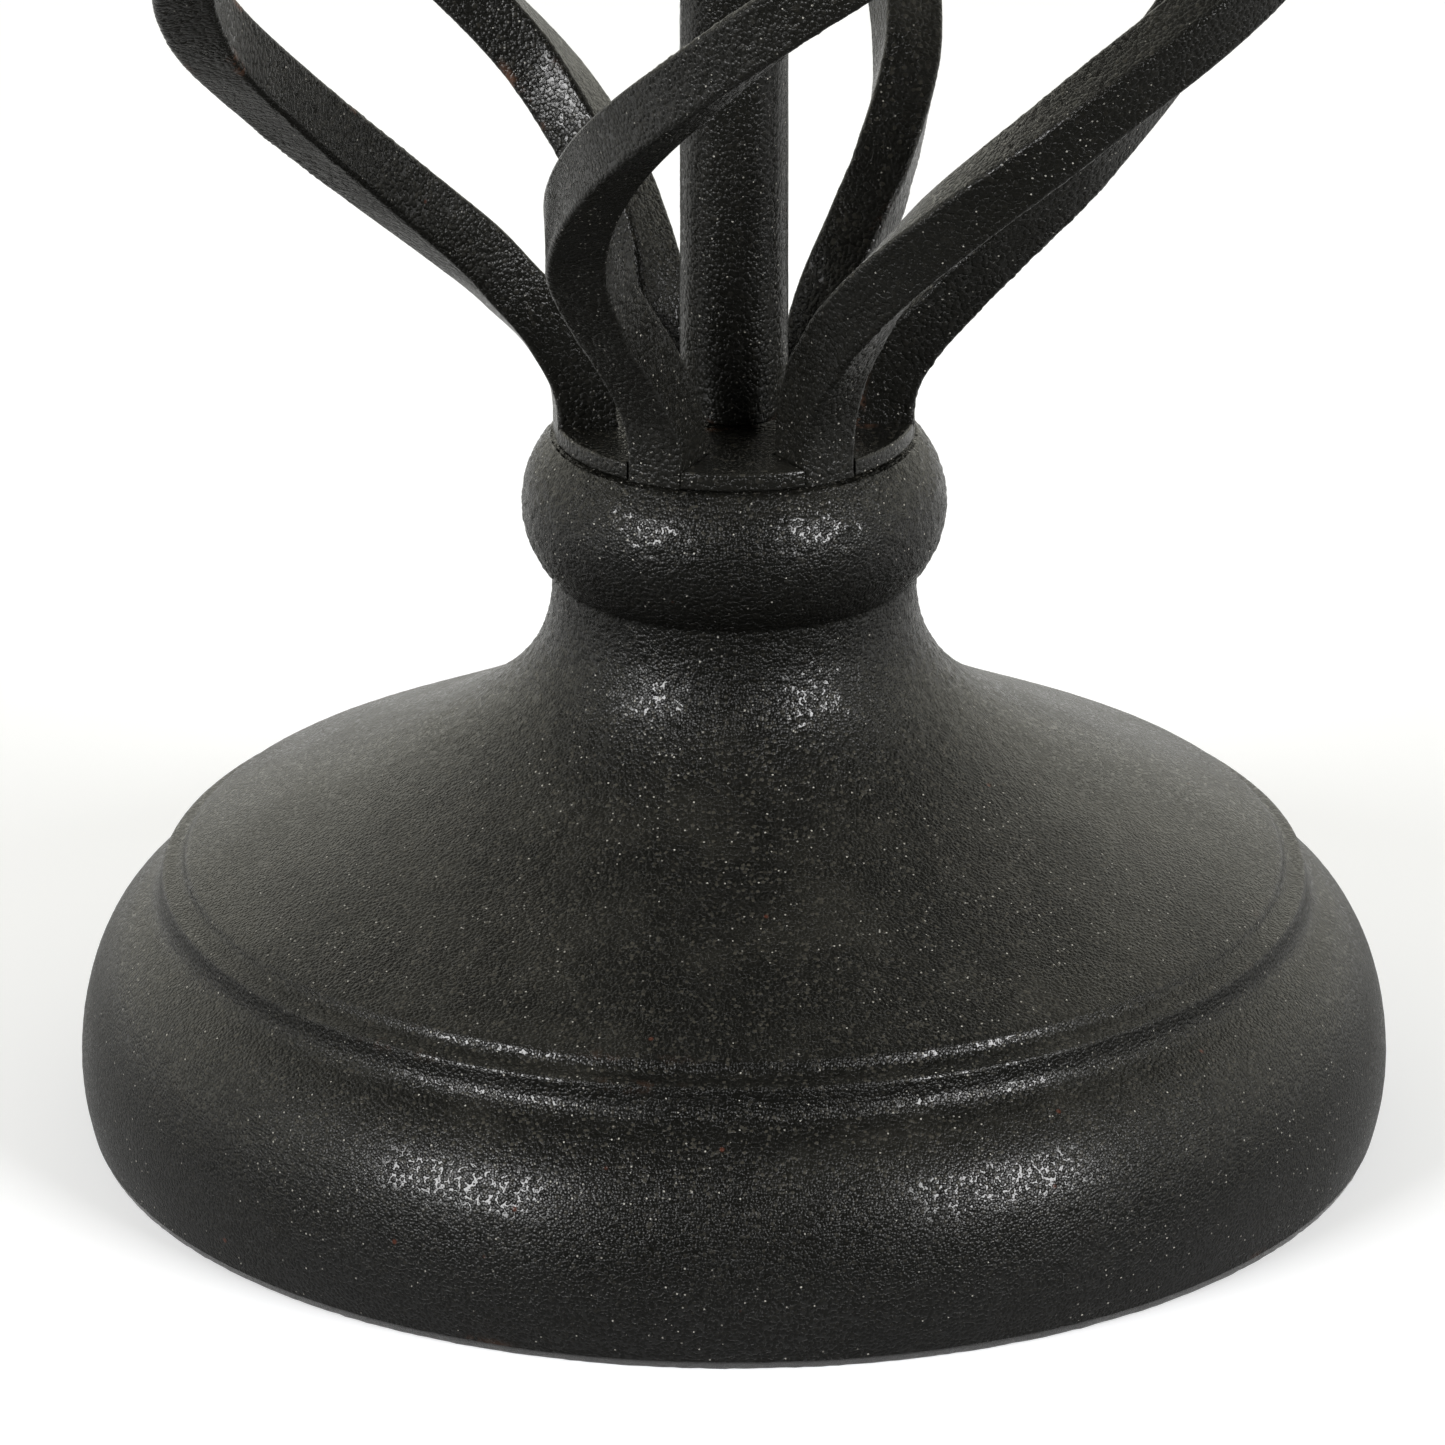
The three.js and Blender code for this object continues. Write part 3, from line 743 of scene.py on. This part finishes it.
def build_bolt():
    """The hexagon bolt with its washer face and threaded shank, and its washer."""
    low, high, shank = BOLT_LOW[2], BOLT_HIGH[2], BOLT["radius"]
    head_top = low + BOLT["head"]
    corner = BOLT["across_flats"] / math.sqrt(3)
    collar = BOLT["across_flats"] / 2 - 0.3
    outline = spaced([
        (0, low), (corner - 1.4, low), (corner, low + 0.8), (corner, head_top - 0.4),
        (collar, head_top - 0.35), (collar, head_top),
        (shank, head_top), (shank, high - 0.8), (shank - 0.8, high), (0, high)], BOLT_SPACING)

    def shape(radius, height, turn):
        headed = (height < head_top - 0.38) & (radius > shank + 0.5)
        radius = np.where(headed, hexagon(BOLT["across_flats"], radius, turn), radius)
        return thread(radius, height, turn)

    bolt = revolve("clamp_bolt", outline, ROUND_STEPS["bolt"], ZINC, twist=shape, crease=30)
    place(bolt, "fastener", "base_bolt")
    inner, outer, bottom, top = shank + FIT_GAP, WASHER_HIGH[0], WASHER_LOW[2], WASHER_HIGH[2]
    washer = rounded([(inner, bottom), (outer, bottom), (outer, top), (inner, top)], WASHER_ROUNDING)
    ring = revolve("clamp_washer", washer, ROUND_STEPS["washer"], ZINC)
    place(ring, "fastener", "base_washer")


def foot_angle(arm):
    """Where a bar's foot stands round the hub disc, in radians."""
    return math.radians(FIRST_FOOT_ANGLE + 360 * arm / ARM_COUNT + HAND_BENT[arm]["foot"])


def hub_outline():
    """The disc seen from above: a circle with a square notch at each bar's foot."""
    half = BAR_SIDE / 2 - HUB_BEVEL / 2
    inner = FOOT_RADIUS - half
    rim = math.sqrt(HUB_RADIUS ** 2 - half ** 2)
    opening = math.asin(half / HUB_RADIUS)
    points = []
    for arm in range(ARM_COUNT):
        middle = foot_angle(arm)
        following = foot_angle((arm + 1) % ARM_COUNT)
        outward = np.array([math.cos(middle), math.sin(middle)])
        across = np.array([-outward[1], outward[0]])
        points += [outward * rim - across * half, outward * inner - across * half,
                   outward * inner + across * half, outward * rim + across * half]
        start = middle + opening
        end = start + (following - middle) % (2 * math.pi) - 2 * opening
        for k in range(1, HUB_ARC_STEPS):
            angle = start + (end - start) * k / HUB_ARC_STEPS
            points.append(HUB_RADIUS * np.array([math.cos(angle), math.sin(angle)]))
    return points


def build_hub():
    """A flat plate with a rounded upper edge, drawn as a filled and bevelled outline."""
    curve = bpy.data.curves.new("hub_plate", "CURVE")
    curve.dimensions = "2D"
    curve.fill_mode = "BOTH"
    curve.extrude = ((HUB_TOP - HUB_BOTTOM) / 2 - HUB_BEVEL) * MM
    curve.bevel_depth = HUB_BEVEL * MM
    curve.bevel_resolution = 3
    curve.offset = -HUB_BEVEL * MM
    hole = arc((0, 0), BOLT["radius"] + FIT_GAP, 360, 0, 48)[:-1]
    for loop in (hub_outline(), hole):
        spline = curve.splines.new("POLY")
        spline.points.add(len(loop) - 1)
        for spot, (x, y) in zip(spline.points, loop):
            spot.co = (x * MM, y * MM, 0, 1)
        spline.use_cyclic_u = True
    drawn = bpy.data.objects.new("hub_plate_outline", curve)
    bpy.context.scene.collection.objects.link(drawn)
    bpy.context.view_layer.update()
    solved = drawn.evaluated_get(bpy.context.evaluated_depsgraph_get())
    mesh = bpy.data.meshes.new_from_object(solved)
    bpy.data.objects.remove(drawn)
    middle = (HUB_TOP + HUB_BOTTOM) / 2
    points = np.array([v.co for v in mesh.vertices]) / MM + np.array([0, 0, middle])
    faces = [list(p.vertices) for p in mesh.polygons]
    near_rim = np.hypot(points[:, 0], points[:, 1]) > HUB_RADIUS - HUB_WORN_RIM
    upper = points[:, 2] > middle
    hub = finish_mesh("hub_disc_plate", points, faces, near_rim & upper, BAR_COAT, 35)
    place(hub, "black_bar", "hub_disc")


# ---- the stem and the bars ----


def bar_relief(points):
    """Coarse grains and hand-forged unevenness of the bars; it only ever lowers the surface."""
    waves = 0.06 * soft_noise(points, size=13, seed=21) + 0.02 * soft_noise(points, size=5, seed=22)
    rough = np.clip(0.55 + 0.9 * soft_noise(points, size=24, seed=23), 0.1, 1)
    return waves - 0.28 + 0.2 * rough * blisters(points, size=1.0, seed=24)


def build_stem():
    """The round rod, with the bolt's hole in its lower end and the screw's in its upper end."""
    hole = BOLT["radius"] + FIT_GAP
    hole_end = BOLT_HIGH[2] + HOLE_ROOM
    tapping = SCREW["radius"] + FIT_GAP
    tapping_end = STEM_TOP - SCREW["length"]
    bottom, radius, soft = STEM_LOW[2], STEM_RADIUS, STEM_ROUNDING
    rod = [(hole, bottom), (radius - soft, bottom), (radius, bottom + soft),
           (radius, STEM_TOP - soft), (radius - soft, STEM_TOP), (tapping, STEM_TOP)]
    outline = np.concatenate([
        [(0, hole_end), (hole, hole_end)], spaced(rod, FINE_SPACING),
        [(tapping, tapping_end), (0, tapping_end)]])
    stem = revolve("round_stem", outline, ROUND_STEPS["stem"], BAR_COAT, bar_relief)
    place(stem, "black_bar", "centre_stem")


def smoothstep(x, low, high):
    """Rises smoothly from 0 at low to 1 at high."""
    t = np.clip((x - low) / (high - low), 0, 1)
    return t * t * (3 - 2 * t)


def knots(arm):
    """The points that a bar's centre line passes through."""
    bent = HAND_BENT[arm]
    points = []
    for height, radius, sweep in ARM_PATH:
        above_foot = smoothstep(height, FOOT_STRAIGHT, LOW_HEIGHT)
        above_low = smoothstep(height, LOW_HEIGHT, MIDDLE_HEIGHT)
        uneven = 1 - smoothstep(height, MIDDLE_HEIGHT, EVEN_HEIGHT)
        stray = (bent["foot"] * (1 - above_foot) + bent["low"] * above_foot * (1 - above_low)
                 + bent["middle"] * above_low * uneven)
        out = FOOT_RADIUS + (radius - FOOT_RADIUS) * (1 + (bent["reach"] - 1) * uneven)
        angle = math.radians(FIRST_FOOT_ANGLE + 360 * arm / ARM_COUNT + sweep + stray)
        points.append((out * math.cos(angle), out * math.sin(angle), height))
    return np.array(points)


def centripetal(points, steps=80):
    """Points along the centripetal Catmull-Rom curve through the given ones."""
    ends = [2 * points[0] - points[1], *points, 2 * points[-1] - points[-2]]
    t = np.linspace(0, 1, steps, endpoint=False)[:, None]
    line = []
    for p0, p1, p2, p3 in zip(ends, ends[1:], ends[2:], ends[3:]):
        d0, d1, d2 = (math.sqrt(np.linalg.norm(b - a)) for a, b in ((p0, p1), (p1, p2), (p2, p3)))
        m1 = d1 * ((p1 - p0) / d0 - (p2 - p0) / (d0 + d1) + (p2 - p1) / d1)
        m2 = d1 * ((p2 - p1) / d1 - (p3 - p1) / (d1 + d2) + (p3 - p2) / d2)
        square = 3 * (p2 - p1) - 2 * m1 - m2
        cube = 2 * (p1 - p2) + m1 + m2
        line.append(p1 + m1 * t + square * t ** 2 + cube * t ** 3)
    return np.concatenate([*line, points[-1:]])


def even_steps(line, spacing):
    """The line again with points an even distance apart, and the share of its length at each."""
    gaps = np.linalg.norm(np.diff(line, axis=0), axis=1)
    along = np.concatenate([[0], np.cumsum(gaps)])
    count = round(along[-1] / spacing)
    share = np.linspace(0, 1, count + 1)
    spots = np.stack([np.interp(share * along[-1], along, line[:, k]) for k in range(3)], axis=1)
    return spots, share


def bar_frames(spots, share, roll):
    """The bar's two directions at each point: face towards its heading, side square to it."""
    along = np.gradient(spots, axis=0)
    along /= np.linalg.norm(along, axis=1)[:, None]
    outward = spots[:, :2] / np.linalg.norm(spots[:, :2], axis=1)[:, None]
    sideways = np.stack([-outward[:, 1], outward[:, 0]], axis=1)
    foot_hold = FOOT_HOLD * (1 - smoothstep(spots[:, 2], FOOT_STRAIGHT, FOOT_HOLD_TOP))
    hold = foot_hold + HEADING_BIAS * (1 - share)
    heading = along[:, :2] + hold[:, None] * outward + HEADING_BIAS * share[:, None] * sideways
    side = np.stack([-heading[:, 1], heading[:, 0], np.zeros(len(spots))], axis=1)
    side -= (side * along).sum(axis=1)[:, None] * along
    side /= np.linalg.norm(side, axis=1)[:, None]
    rolled = smoothstep(spots[:, 2], FOOT_STRAIGHT, ROLLED_HEIGHT)
    rolled *= math.radians(roll) * (1 - smoothstep(spots[:, 2], MIDDLE_HEIGHT, EVEN_HEIGHT))
    side = np.cos(rolled)[:, None] * side - np.sin(rolled)[:, None] * np.cross(side, along)
    return np.cross(side, along), side


def bar_section():
    """The rounded square: points, outward normals, and 1 on the rounded arrises."""
    flat = BAR_SIDE / 2 - BAR_ROUNDING
    steps = round(2 * flat / BAR_SPACING)
    points, normals, worn = [], [], []
    for quarter in range(4):
        turn = quarter * math.pi / 2
        spin = np.array([[math.cos(turn), -math.sin(turn)], [math.sin(turn), math.cos(turn)]])
        for k in range(steps):
            points.append(spin @ (BAR_SIDE / 2, -flat + 2 * flat * k / steps))
            normals.append(spin @ (1, 0))
            worn.append(max(0, 1 - min(k, steps - k) * BAR_SPACING / EDGE_REACH))
        for k in range(BAR_CORNER_STEPS):
            angle = k * math.pi / 2 / BAR_CORNER_STEPS
            direction = spin @ (math.cos(angle), math.sin(angle))
            points.append(spin @ (flat, flat) + BAR_ROUNDING * direction)
            normals.append(direction)
            worn.append(1)
    return np.array(points), np.array(normals), np.array(worn)


def build_arm(arm):
    """A square bar swept along its swirl, with a tapped hole in its upper end."""
    spots, share = even_steps(centripetal(knots(arm)), BAR_SPACING)
    face, side = bar_frames(spots, share, HAND_BENT[arm]["roll"])
    section, normals, worn = bar_section()
    rings = spots[:, None] + section[None, :, :1] * face[:, None] + section[None, :, 1:] * side[:, None]
    out = normals[None, :, :1] * face[:, None] + normals[None, :, 1:] * side[:, None]
    move = bar_relief(rings.reshape(-1, 3)).reshape(rings.shape[:2])
    rings = rings + out * move[..., None]

    tip = spots[-1]
    around = section / np.linalg.norm(section, axis=1)[:, None] * (SCREW["radius"] + FIT_GAP)
    mouth = tip + around[:, :1] * face[-1] + around[:, 1:] * side[-1]
    rings = np.concatenate([rings, mouth[None], (mouth - [0, 0, SCREW["length"]])[None]])
    count, around_count = rings.shape[:2]
    index = np.arange(count * around_count).reshape(count, around_count)
    turned = np.roll(index, -1, axis=1)
    faces = np.stack([index[:-1], turned[:-1], turned[1:], index[1:]], axis=-1).reshape(-1, 4).tolist()
    faces.append(index[0][::-1].tolist())
    faces.append(index[-1].tolist())
    edge = np.broadcast_to(worn, (count, around_count)).ravel()
    bar = finish_mesh(f"swirl_bar_{arm + 1}", rings.reshape(-1, 3), faces, edge, BAR_COAT, 60)
    place(bar, "black_bar", f"arm_{arm + 1}")


# ---- the lights ----


def pan_outline():
    """A flat dish with a sloping brim and a rolled rim."""
    hole = SCREW["radius"] + FIT_GAP
    top = PAN_BOTTOM + PAN_SHEET
    rim = PAN_BOTTOM + PAN_RIM
    return rounded([
        (hole, PAN_BOTTOM), (PAN_RADIUS - 8, PAN_BOTTOM), (PAN_RADIUS - 2.5, PAN_BOTTOM + 1.6),
        (PAN_RADIUS, rim - 0.8), (PAN_RADIUS - 0.4, rim), (PAN_RADIUS - 1.3, rim),
        (PAN_RADIUS - 3.6, top + 1.6), (PAN_RADIUS - 8.4, top), (hole, top)], 1.2, 5)


def cup_outline():
    """A turned cup with a rounded foot and a flared lip, countersunk for its screw."""
    hole = SCREW["radius"] + FIT_GAP
    top = CUP_BOTTOM + CUP_HEIGHT
    outside = [(hole, CUP_BOTTOM), (CUP_RADIUS - 2.8, CUP_BOTTOM), (CUP_RADIUS - 0.5, CUP_BOTTOM + 2),
               (CUP_RADIUS, CUP_BOTTOM + 5), (CUP_RADIUS, top - 7), (CUP_RADIUS + 1.2, top - 3.4),
               (CUP_LIP, top - 1.1), (CUP_LIP, top - 0.3), (CUP_LIP - 0.9, top)]
    inside = [(CUP_BORE + 1.6, top - 2.4), (CUP_BORE, top - 6), (CUP_BORE, FLOOR_TOP),
              (SCREW["head"] + FIT_GAP, FLOOR_TOP), (hole, FLOOR_TOP - SCREW["cone"])]
    return rounded(outside + inside, 1.4, 5)


def screw_outline():
    """A countersunk screw with a socket in its head."""
    tip = FIT_GAP - SCREW["length"]
    top = FLOOR_TOP - 0.1
    shank, head, socket = SCREW["radius"], SCREW["head"], SCREW["socket"]
    socket_end = top - SCREW["socket_depth"]
    return [(0, tip), (shank - 0.5, tip), (shank, tip + 0.6), (shank, top - SCREW["cone"]),
            (head, top - 0.15), (head - 0.2, top), (socket + 0.25, top), (socket, top - 0.25),
            (socket, socket_end), (0, socket_end - 0.3)]


def screw_socket(radius, height, turn):
    """Squeezes the round socket into a hexagon."""
    inside = (radius <= SCREW["socket"] + 0.3) & (height > FLOOR_TOP - SCREW["socket_depth"] - 0.2)
    return np.where(inside & (radius > 1), hexagon(SCREW["across_socket"], radius, turn), radius)


def sheet_relief(points):
    """The grain and slight dents of pressed sheet; it only ever lowers the surface."""
    dents = 0.06 * soft_noise(points, size=9, seed=31)
    return dents - 0.12 + 0.06 * blisters(points, size=1.3, seed=32)


def build_light(label, x, y, z):
    """A pan, the cup in it and the screw that holds both, on the bar's end at z."""
    def turned(name, outline, steps, material, **more):
        return revolve(name, outline, ROUND_STEPS[steps], material, centre=(x, y), lift=z, **more)

    dish = closed(pan_outline(), PAN_SPACING)
    pan = turned(f"pan_{label}", dish, "pan", BAR_COAT, relief=sheet_relief)
    place(pan, "black_bar", f"drip_pan_{label}")
    holder = closed(cup_outline(), CUP_SPACING)
    cup = turned(f"cup_{label}", holder, "cup", BAR_COAT, relief=sheet_relief)
    place(cup, "black_bar", f"candle_cup_{label}")
    screw = turned(f"screw_{label}", screw_outline(), "screw", ZINC, twist=screw_socket, crease=30)
    place(screw, "fastener", f"cup_screw_{label}")


def build_lights():
    """The middle light on the stem and one on each bar, evenly spaced on a circle."""
    build_light("centre", 0, 0, STEM_TOP)
    for arm in range(ARM_COUNT):
        angle = math.radians(FIRST_FOOT_ANGLE + 360 * arm / ARM_COUNT + TIP_SWEEP)
        x, y = TIP_RADIUS * math.cos(angle), TIP_RADIUS * math.sin(angle)
        build_light(str(arm + 1), x, y, TIP_HEIGHT)


# ---- the studio ----

CAMERA = {"distance": 1.9846, "elevation": 21.5, "look_at": (-0.00177, 0, 0.0642), "lens": 321.4}
SOFTBOX = {"distance": 2.1, "width": 1.05, "height": 0.85, "azimuth": 48, "elevation": 21,
           "look_at": (0, 0, 0.08), "power": 50}
STUDIO_WARMTH = (1.0, 0.985, 0.87, 1)
STUDIO_DEPTH = {"front": -0.72, "side": 0.12, "dim": 0.04, "bright": 1.15}
STUDIO_HEIGHT = {"low": 0.35, "high": 0.95, "bright": 1.0, "dim": 0.25}
FLOOR_RADIUS = 6


def aim(thing, target):
    """Turns a camera or lamp towards a place."""
    thing.rotation_euler = (Vector(target) - thing.location).to_track_quat("-Z", "Y").to_euler()


def around(azimuth, elevation, distance, centre=(0, 0, 0)):
    """A place seen from the object: azimuth 0 is in front of it (-Y), 90 to its right (+X)."""
    a, e = math.radians(azimuth), math.radians(elevation)
    direction = Vector((math.sin(a) * math.cos(e), -math.cos(a) * math.cos(e), math.sin(e)))
    return Vector(centre) + distance * direction


def build_camera():
    """The photographer's long lens, looking down a little at the base."""
    data = bpy.data.cameras.new("camera")
    data.sensor_width = 36
    data.lens = CAMERA["lens"]
    data.clip_end = 50
    camera = bpy.data.objects.new("camera", data)
    camera.location = around(0, CAMERA["elevation"], CAMERA["distance"], CAMERA["look_at"])
    aim(camera, CAMERA["look_at"])
    bpy.context.scene.collection.objects.link(camera)
    bpy.context.scene.camera = camera


def build_softbox(name, azimuth):
    """A wide soft light in front of the object and to one side."""
    data = bpy.data.lights.new(name, "AREA")
    data.shape = "RECTANGLE"
    data.size = SOFTBOX["width"]
    data.size_y = SOFTBOX["height"]
    data.energy = SOFTBOX["power"]
    light = bpy.data.objects.new(name, data)
    light.location = around(azimuth, SOFTBOX["elevation"], SOFTBOX["distance"])
    aim(light, SOFTBOX["look_at"])
    bpy.context.scene.collection.objects.link(light)


def build_world():
    """A white studio: bright behind and beside the object, dim overhead and on the camera's side."""
    world = bpy.data.worlds.new("studio")
    world.use_nodes = True
    bpy.context.scene.world = world
    s = Shader(world.node_tree)
    direction = s.put("ShaderNodeSeparateXYZ", _0=s.put("ShaderNodeTexCoord").outputs["Generated"])
    behind = s.ramp(direction.outputs["Y"], STUDIO_DEPTH["front"], STUDIO_DEPTH["side"],
                    STUDIO_DEPTH["dim"], STUDIO_DEPTH["bright"])
    overhead = s.ramp(direction.outputs["Z"], STUDIO_HEIGHT["low"], STUDIO_HEIGHT["high"],
                      STUDIO_HEIGHT["bright"], STUDIO_HEIGHT["dim"])
    glow = s.put("ShaderNodeBackground", Color=STUDIO_WARMTH, Strength=s.times(behind, overhead))
    plain = s.put("ShaderNodeBackground", Color=(1, 1, 1, 1), Strength=1.0)
    seen = s.put("ShaderNodeLightPath").outputs["Is Camera Ray"]
    both = s.put("ShaderNodeMixShader", _0=seen, _1=glow.outputs[0], _2=plain.outputs[0])
    s.put("ShaderNodeOutputWorld", Surface=both.outputs[0])


def build_floor():
    """A round table top, wide enough to fill every view."""
    mesh = bpy.data.meshes.new("floor")
    ring = arc((0, 0), FLOOR_RADIUS, 0, 360, 96)[:-1]
    mesh.from_pydata([(x, y, 0) for x, y in ring], [], [list(range(len(ring)))])
    mesh.materials.append(floor_material())
    floor = bpy.data.objects.new("floor", mesh)
    bpy.context.scene.collection.objects.link(floor)


# ---- the whole scene ----

bpy.context.scene.view_settings.view_transform = "Standard"
build_base()
build_felt()
build_bolt()
build_hub()
build_stem()
for number in range(ARM_COUNT):
    build_arm(number)
build_lights()
build_world()
build_softbox("softbox_left", -SOFTBOX["azimuth"])
build_softbox("softbox_right", SOFTBOX["azimuth"])
build_floor()
build_camera()
